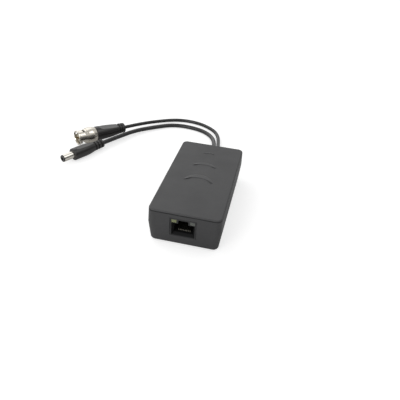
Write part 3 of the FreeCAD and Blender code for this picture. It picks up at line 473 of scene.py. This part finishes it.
@dataclass
class MouldedGrip:
    """A plug's moulded grip: a body of revolution with a soft-edged flat panel above and below.

    Attributes:
        name: The piece's name.
        node: The CAD node it stands for.
        pose: The plug it is moulded on.
        profile_mm: Distance along the axis, radius and rounding of each corner, from the bottom of the hole
            in its front, round its mouth, to its far end.
        panel_mm: Where the panels start and end, and their height over the axis at both ends.
        fade_mm: Length over which a panel sinks in at its start.
        sink_mm: How far it sinks in over that length.
        soft_mm: How widely a panel's long edges are rounded.
        steps: How many sides the revolution has.
        run_mm: Length past which a straight run of the profile is divided, so that a panel can bend it.
        run_cuts: How many cuts divide such a run.
        crease: Degrees between two faces past which their edge stays sharp.
        finish: The moulding's finish.
    """

    name: str
    node: str
    pose: PlugPose
    profile_mm: tuple[tuple[float, float, float], ...]
    panel_mm: tuple[float, float, float, float]
    fade_mm: float = 2.4
    sink_mm: float = 0.8
    soft_mm: float = 0.12
    steps: int = 96
    run_mm: float = 1.6
    run_cuts: int = 14
    crease: float = 40.0
    finish: Finish = BOOT

    def outline(self, form: bmesh.types.BMesh) -> None:
        """Draws the profile, rounds its corners and divides its long runs.

        Args:
            form: The mesh that gets the profile.
        """
        corners = [form.verts.new((along * MM, radius * MM, 0.0)) for along, radius, _ in self.profile_mm]
        for pair in zip(corners, corners[1:]):
            form.edges.new(pair)
        for rounding in sorted({entry[2] for entry in self.profile_mm} - {0.0}):
            chosen = [corner for corner, entry in zip(corners, self.profile_mm) if entry[2] == rounding]
            bmesh.ops.bevel(form, geom=chosen, offset=rounding * MM, segments=4, profile=0.5,
                            affect="VERTICES", material=-1)
        runs = [edge for edge in form.edges if edge.calc_length() > self.run_mm * MM]
        bmesh.ops.subdivide_edges(form, edges=runs, cuts=self.run_cuts)

    def panel_height(self, along_mm: float) -> float:
        """Finds how high a panel lies over the axis.

        Args:
            along_mm: Distance along the axis.

        Returns:
            The height in millimetres, very large where there is no panel.
        """
        start, end, first, last = self.panel_mm
        if not start <= along_mm <= end:
            return 99.0
        sunk = min(1.0, (along_mm - start) / self.fade_mm)
        sunk = sunk * sunk * (3 - 2 * sunk)
        return first + (last - first) * (along_mm - start) / (end - start) + (1 - sunk) * self.sink_mm

    def press(self, form: bmesh.types.BMesh) -> None:
        """Presses the two panels into the body, as a soft minimum of its height and theirs.

        Args:
            form: The body of revolution.
        """
        for vertex in form.verts:
            height = self.panel_height(vertex.co.x / MM)
            reach = abs(vertex.co.z) / MM
            far_below = height - 12 * self.soft_mm
            if reach < far_below:
                continue
            kept = height - self.soft_mm * math.log1p(math.exp((height - reach) / self.soft_mm))
            vertex.co.z = math.copysign(kept * MM, vertex.co.z)

    def build(self) -> bpy.types.Object:
        """Turns, presses and places the grip.

        Returns:
            The grip's object.
        """
        form = bmesh.new()
        self.outline(form)
        bmesh.ops.spin(form, geom=form.verts[:] + form.edges[:], cent=(0, 0, 0), axis=(1, 0, 0),
                       angle=2 * math.pi, steps=self.steps, use_merge=True)
        bmesh.ops.remove_doubles(form, verts=form.verts[:], dist=0.002 * MM)
        self.press(form)
        bmesh.ops.recalc_face_normals(form, faces=form.faces[:])
        turn = Matrix.Rotation(math.radians(self.pose.heading), 4, "Z")
        turn = turn @ Matrix.Rotation(math.radians(self.pose.tilt), 4, "Y")
        bmesh.ops.transform(form, matrix=Matrix.Translation(Vector(self.pose.mouth_mm) * MM) @ turn,
                            verts=form.verts[:])
        for face in form.faces:
            face.smooth = True
        for edge in form.edges:
            if edge.calc_face_angle(0.0) > math.radians(self.crease):
                edge.smooth = False
        mesh = bpy.data.meshes.new(self.name)
        form.to_mesh(mesh)
        form.free()
        mesh.materials.append(self.finish.material())
        grip = bpy.data.objects.new(self.name, mesh)
        bpy.context.scene.collection.objects.link(grip)
        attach(grip, BALUN)
        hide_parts(self.node)
        log.info("grip %s: %d faces", self.name, len(mesh.polygons))
        return grip


@dataclass
class Lead:
    """One free lead: a smooth round jacket along its route.

    Attributes:
        name: The piece's name.
        node: The CAD node it stands for.
        route_mm: Control points from the back wall to the plug, in millimetres.
        diameter_mm: Jacket diameter.
        length_mm: Real length.
        far_end: What is on its end; not used.
        carried: CAD nodes of the plug on it; not used.
        grip: Name of the moulded grip on it; not used.
        finish: The jacket's finish.
    """

    name: str
    node: str
    route_mm: tuple[tuple[float, float, float], ...]
    diameter_mm: float
    length_mm: float
    far_end: FarEnd
    carried: tuple[str, ...]
    grip: str
    finish: Finish = JACKET

    def build(self) -> bpy.types.Object:
        """Returns:
            The lead's curve object.
        """
        curve = bpy.data.curves.new(self.name, "CURVE")
        curve.dimensions = "3D"
        curve.bevel_depth = self.diameter_mm / 2 * MM
        curve.bevel_resolution = 8
        curve.resolution_u = 24
        curve.use_fill_caps = True
        spline = curve.splines.new("NURBS")
        spline.points.add(len(self.route_mm) - 1)
        for point, place in zip(spline.points, self.route_mm):
            point.co = (place[0] * MM, place[1] * MM, place[2] * MM, 1.0)
        spline.order_u = 3
        spline.use_endpoint_u = True
        lead = bpy.data.objects.new(self.name, curve)
        bpy.context.scene.collection.objects.link(lead)
        curve.materials.append(self.finish.material())
        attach(lead, BALUN)
        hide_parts(self.node)
        log.info("lead %s: %.0f mm", self.name, self.length_mm)
        return lead


@dataclass(frozen=True)
class Lamp:
    """A soft round lamp that points at the object.

    Attributes:
        name: The lamp's name.
        place_mm: Where it hangs.
        size_mm: Its diameter.
        power: Its power in watts.
    """

    name: str
    place_mm: tuple[float, float, float]
    size_mm: float
    power: float

    def build(self) -> None:
        """Hangs the lamp."""
        lamp = bpy.data.lights.new(self.name, "AREA")
        lamp.shape = "DISK"
        lamp.size = self.size_mm * MM
        lamp.energy = self.power
        piece = bpy.data.objects.new(self.name, lamp)
        piece.location = Vector(self.place_mm) * MM
        piece.rotation_euler = (-Vector(self.place_mm)).to_track_quat("-Z", "Y").to_euler()
        bpy.context.scene.collection.objects.link(piece)


@dataclass
class Studio:
    """Floor, light and camera.

    Attributes:
        floor_radius_mm: How far the floor reaches.
        camera_mm: Where the camera stands.
        right: The camera's right-hand direction.
        up: The camera's upward direction.
        lens_mm: Focal length on a 36 mm sensor.
        sky: Strength of the pale walls and ceiling.
        bright_side: Direction of the brightest wall, behind the object.
        bright_edge: Cosines to that direction between which the wall grows brighter.
        bright_gain: How much stronger the light is there.
        dark_side: Direction of the unlit end of the studio, behind the photographer.
        dark_edge: Cosines to that direction between which the walls grow dark.
        dark_height: Sines of the elevation between which the dark gives way to the ceiling.
        dark_strength: What is left of the light there.
        floor_colour: The floor's own colour, as sRGB hex.
        floor_glow: Strength of the white that the camera sees over the floor's own light.
        gloss_share: How much of the background's white polished metal shows, which leaves it the real
            shadows and the unlit end.
        lamps: The soft lamps.
    """

    floor_radius_mm: float = 4000.0
    camera_mm: tuple[float, float, float] = (42.84, -238.96, 179.71)
    right: tuple[float, float, float] = (0.9745, 0.2159, 0.0611)
    up: tuple[float, float, float] = (-0.1751, 0.5614, 0.8088)
    lens_mm: float = 39.55
    sky: float = 0.52
    bright_side: tuple[float, float, float] = (-0.72, 0.52, 0.46)
    bright_edge: tuple[float, float] = (0.5, 0.95)
    bright_gain: float = 2.4
    dark_side: tuple[float, float, float] = (0.9, -0.43, 0.0)
    dark_edge: tuple[float, float] = (0.3, 0.6)
    dark_height: tuple[float, float] = (0.38, 0.45)
    dark_strength: float = 0.05
    floor_colour: str = "cccccc"
    floor_glow: float = 0.62
    gloss_share: float = 0.15
    lamps: list[Lamp] = field(default_factory=lambda: [
        Lamp("key", (330.0, 60.0, 660.0), 430.0, 0.55),
        Lamp("back", (-420.0, 320.0, 520.0), 700.0, 0.3),
        Lamp("fill", (-300.0, -620.0, 280.0), 420.0, 1.6),
    ])

    def seen_white(self, tree: bpy.types.NodeTree) -> bpy.types.NodeSocket:
        """Finds how much of the white background a ray is given.

        Args:
            tree: The node tree of the floor or the world.

        Returns:
            1 for the camera and behind clear plastic, the gloss share in metal, and 0 for light itself.
        """
        path = add_node(tree, "ShaderNodeLightPath")
        glossy = add_node(tree, "ShaderNodeMath", {"operation": "MULTIPLY"}, {
            0: path.outputs["Is Glossy Ray"], 1: self.gloss_share})
        seen = add_node(tree, "ShaderNodeMath", {"operation": "MAXIMUM"}, {
            0: path.outputs["Is Camera Ray"], 1: path.outputs["Is Transmission Ray"]})
        return add_node(tree, "ShaderNodeMath", {"operation": "MAXIMUM"}, {
            0: seen.outputs["Value"], 1: glossy.outputs["Value"]}).outputs["Value"]

    def floor(self) -> None:
        """Lays the pale floor, which the camera sees as white and which keeps the object's shadow."""
        form = bmesh.new()
        bmesh.ops.create_circle(form, cap_ends=True, segments=64, radius=self.floor_radius_mm * MM)
        mesh = bpy.data.meshes.new("floor")
        form.to_mesh(mesh)
        form.free()
        ground = bpy.data.objects.new("floor", mesh)
        bpy.context.scene.collection.objects.link(ground)
        material, tree = fresh_tree("white_studio_floor")
        glow = add_node(tree, "ShaderNodeMath", {"operation": "MULTIPLY"}, {
            0: self.seen_white(tree), 1: self.floor_glow})
        matt = add_node(tree, "ShaderNodeBsdfDiffuse", {}, {"Color": linear(self.floor_colour)})
        white = add_node(tree, "ShaderNodeEmission", {}, {
            "Color": linear("ffffff"), "Strength": glow.outputs["Value"]})
        both = add_node(tree, "ShaderNodeAddShader", {}, {
            0: matt.outputs["BSDF"], 1: white.outputs["Emission"]})
        add_node(tree, "ShaderNodeOutputMaterial", {}, {"Surface": both.outputs["Shader"]})
        mesh.materials.append(material)

    def world(self) -> None:
        """Makes the room round the table: pale walls and ceiling, and an unlit end behind the camera."""
        room = bpy.data.worlds.new("studio_room")
        bpy.context.scene.world = room
        room.use_nodes = True
        tree = room.node_tree
        tree.nodes.clear()
        way = add_node(tree, "ShaderNodeTexCoord").outputs["Generated"]
        height = add_node(tree, "ShaderNodeSeparateXYZ", {}, {0: way}).outputs["Z"]
        towards = add_node(tree, "ShaderNodeVectorMath", {"operation": "DOT_PRODUCT"}, {
            0: way, 1: self.dark_side}).outputs["Value"]
        low = add_node(tree, "ShaderNodeMapRange", {"interpolation_type": "SMOOTHSTEP"}, {
            "Value": height, "From Min": self.dark_height[0], "From Max": self.dark_height[1],
            "To Min": 1.0, "To Max": 0.0})
        near = add_node(tree, "ShaderNodeMapRange", {"interpolation_type": "SMOOTHSTEP"}, {
            "Value": towards, "From Min": self.dark_edge[0], "From Max": self.dark_edge[1]})
        dark = add_node(tree, "ShaderNodeMath", {"operation": "MULTIPLY"}, {
            0: low.outputs["Result"], 1: near.outputs["Result"]})
        facing = add_node(tree, "ShaderNodeVectorMath", {"operation": "DOT_PRODUCT"}, {
            0: way, 1: self.bright_side}).outputs["Value"]
        gain = add_node(tree, "ShaderNodeMapRange", {"interpolation_type": "SMOOTHSTEP"}, {
            "Value": facing, "From Min": self.bright_edge[0], "From Max": self.bright_edge[1],
            "To Min": 1.0, "To Max": self.bright_gain})
        shade = add_node(tree, "ShaderNodeMapRange", {}, {
            "Value": dark.outputs["Value"], "To Min": self.sky, "To Max": self.sky * self.dark_strength})
        level = add_node(tree, "ShaderNodeMath", {"operation": "MULTIPLY"}, {
            0: gain.outputs["Result"], 1: shade.outputs["Result"]})
        seen = self.seen_white(tree)
        strength = add_node(tree, "ShaderNodeMix", {"data_type": "FLOAT"}, {
            0: seen, 2: level.outputs["Value"], 3: 1.0})
        light = add_node(tree, "ShaderNodeBackground", {}, {
            "Color": linear("ffffff"), "Strength": strength.outputs[0]})
        add_node(tree, "ShaderNodeOutputWorld", {}, {"Surface": light.outputs["Background"]})

    def camera(self) -> None:
        """Stands the camera where the photograph was taken from."""
        lens = bpy.data.cameras.new("camera")
        lens.lens = self.lens_mm
        lens.sensor_width = 36.0
        lens.clip_start = 0.01
        lens.clip_end = 50.0
        piece = bpy.data.objects.new("camera", lens)
        right = Vector(self.right).normalized()
        up = Vector(self.up).normalized()
        back = right.cross(up).normalized()
        turn = Matrix((right, up, back)).transposed().to_4x4()
        piece.matrix_world = Matrix.Translation(Vector(self.camera_mm) * MM) @ turn
        bpy.context.scene.collection.objects.link(piece)
        bpy.context.scene.camera = piece

    def build(self) -> None:
        """Builds the whole studio."""
        self.floor()
        self.world()
        for lamp in self.lamps:
            lamp.build()
        self.camera()
        bpy.context.scene.view_settings.view_transform = "Standard"
        log.info("studio: camera lens %.1f mm", self.lens_mm)


def groove(start_mm: float, width_mm: float, radii_mm: tuple[float, float, float],
           rounding_mm: tuple[float, float]) -> tuple[tuple[float, float, float], ...]:
    """Lists the four corners of a groove in a grip's profile.

    Args:
        start_mm: Where it starts along the axis.
        width_mm: Its width.
        radii_mm: The radius before it, on its floor and after it.
        rounding_mm: The rounding of its two outer corners.

    Returns:
        Distance along the axis, radius and rounding of each corner.
    """
    before, floor, after = radii_mm
    end_mm = start_mm + width_mm
    return ((start_mm, before, rounding_mm[0]), (start_mm, floor, 0.1), (end_mm, floor, 0.1),
            (end_mm, after, rounding_mm[1]))


# The coaxial plug's boot: a soft cone with two long panels, which ends in two rings.
BNC_GRIP = MouldedGrip("bnc_grip", "bnc_boot", BNC_POSE, (
    (24.0, 0.0, 0.0), (24.0, 3.25, 0.0), (16.2, 3.25, 0.0), (16.2, 5.85, 0.2), (28.2, 5.7, 3.0),
    *groove(36.9, 0.75, (4.5, 3.3, 4.25), (0.15, 0.3)),
    *groove(39.15, 0.75, (4.25, 3.3, 4.15), (0.3, 0.3)),
    (42.5, 4.1, 0.5), (42.5, 0.0, 0.0),
), (19.4, 37.0, 4.75, 3.15))
# The power plug's body: a thin lip over the barrel's flange, two panels and a tail with three grooves.
DC_GRIP = MouldedGrip("dc_grip", "dc_plug_body", DC_POSE, (
    (14.3, 0.0, 0.0), (14.3, 3.4, 0.0), (9.57, 3.4, 0.0), (9.57, 2.8, 0.0), (9.42, 2.8, 0.0),
    (9.42, 4.7, 0.45), (22.4, 4.7, 2.5),
    *groove(28.9, 0.9, (3.6, 2.5, 3.58), (0.2, 0.25)),
    *groove(31.65, 0.9, (3.52, 2.45, 3.48), (0.25, 0.25)),
    *groove(34.4, 0.9, (3.4, 2.4, 3.35), (0.25, 0.25)),
    (37.3, 3.25, 0.4), (37.3, 2.1, 0.1), (38.1, 1.9, 0.1), (38.1, 0.0, 0.0),
), (11.6, 28.4, 4.15, 3.6))
BNC_PIECES = ("bnc_collar", "bnc_body", "bnc_insulator", "bnc_centre_pin", "bnc_gasket", "bnc_wave_washer",
              "bnc_thrust_washer", "bnc_retaining_ring")
DC_PIECES = ("dc_barrel", "dc_insulator", "dc_inner_contact")


def sub_assemblies() -> list[Buildable]:
    """Lists the sub-assemblies in building order.

    Returns:
        Studio, grips, leads and dressed CAD nodes, grips before the leads.
    """
    coax = Lead("coax_cable", "coax_lead", (
        (0.6, 43.736, 11.0), (0.6, 58.6, 11.0), (-0.5, 75.0, 5.0), (-5.0, 101.7, 1.47), (-12.1, 112.7, 1.47),
        (-27.3, 121.6, 1.47), (-46.6, 122.1, 1.47), (-65.1, 108.5, 2.6), BNC_POSE.along(55.0),
        BNC_POSE.along(42.5),
    ), 2.9, 163.4, FarEnd.COAXIAL_PLUG, BNC_PIECES, BNC_GRIP.name)
    power = Lead("power_cable", "power_lead", (
        (-3.8, 43.736, 11.0), (-3.8, 60.7, 11.0), (-4.0, 78.0, 5.0), (-10.1, 99.1, 1.72),
        (-23.7, 109.0, 1.72), (-46.5, 110.8, 1.72), (-63.8, 97.4, 2.2), (-75.9, 83.6, 3.4),
        DC_POSE.along(50.6), DC_POSE.along(38.1),
    ), 3.4, 168.9, FarEnd.POWER_PLUG, DC_PIECES, DC_GRIP.name)
    return [
        Studio(),
        BNC_GRIP,
        DC_GRIP,
        coax,
        power,
        Dressing("box", {"case_base": SHELL, "case_lid": SHELL, "case_screws": ZINC}),
        Dressing("jack", {"jack_housing": JACK, "jack_contacts": CONTACT, "jack_led_left": LED_YELLOW,
                          "jack_led_right": LED_GREEN}),
        Dressing("board", {"circuit_board": BOARD, "balun_core": FERRITE, "balun_winding": COPPER,
                           "surge_arrestor": TINNED, "resettable_fuse": FUSE, "surge_diodes": DIODE,
                           "chip_capacitors": CERAMIC}),
        Dressing("tails", {"coax_tail": JACKET, "power_tail": JACKET, "coax_screen_wire": COPPER,
                           "coax_core_wire": WHITE_WIRE, "power_black_wire": BLACK_WIRE,
                           "power_red_wire": RED_WIRE, "cable_tie": NYLON}),
        Dressing("coaxial plug", {"bnc_collar": BNC_NICKEL, "bnc_body": BNC_NICKEL,
                                  "bnc_insulator": INSULATOR, "bnc_centre_pin": GOLD, "bnc_gasket": RUBBER,
                                  "bnc_wave_washer": SPRING, "bnc_thrust_washer": SPRING,
                                  "bnc_retaining_ring": SPRING}),
        Dressing("power plug", {"dc_barrel": DC_NICKEL, "dc_insulator": BOOT, "dc_inner_contact": DC_NICKEL}),
    ]


def main() -> None:
    """Builds every sub-assembly in order."""
    logging.basicConfig(level=logging.INFO, format="%(name)s: %(message)s")
    for part in sub_assemblies():
        part.build()


if __name__ == "__main__":
    main()
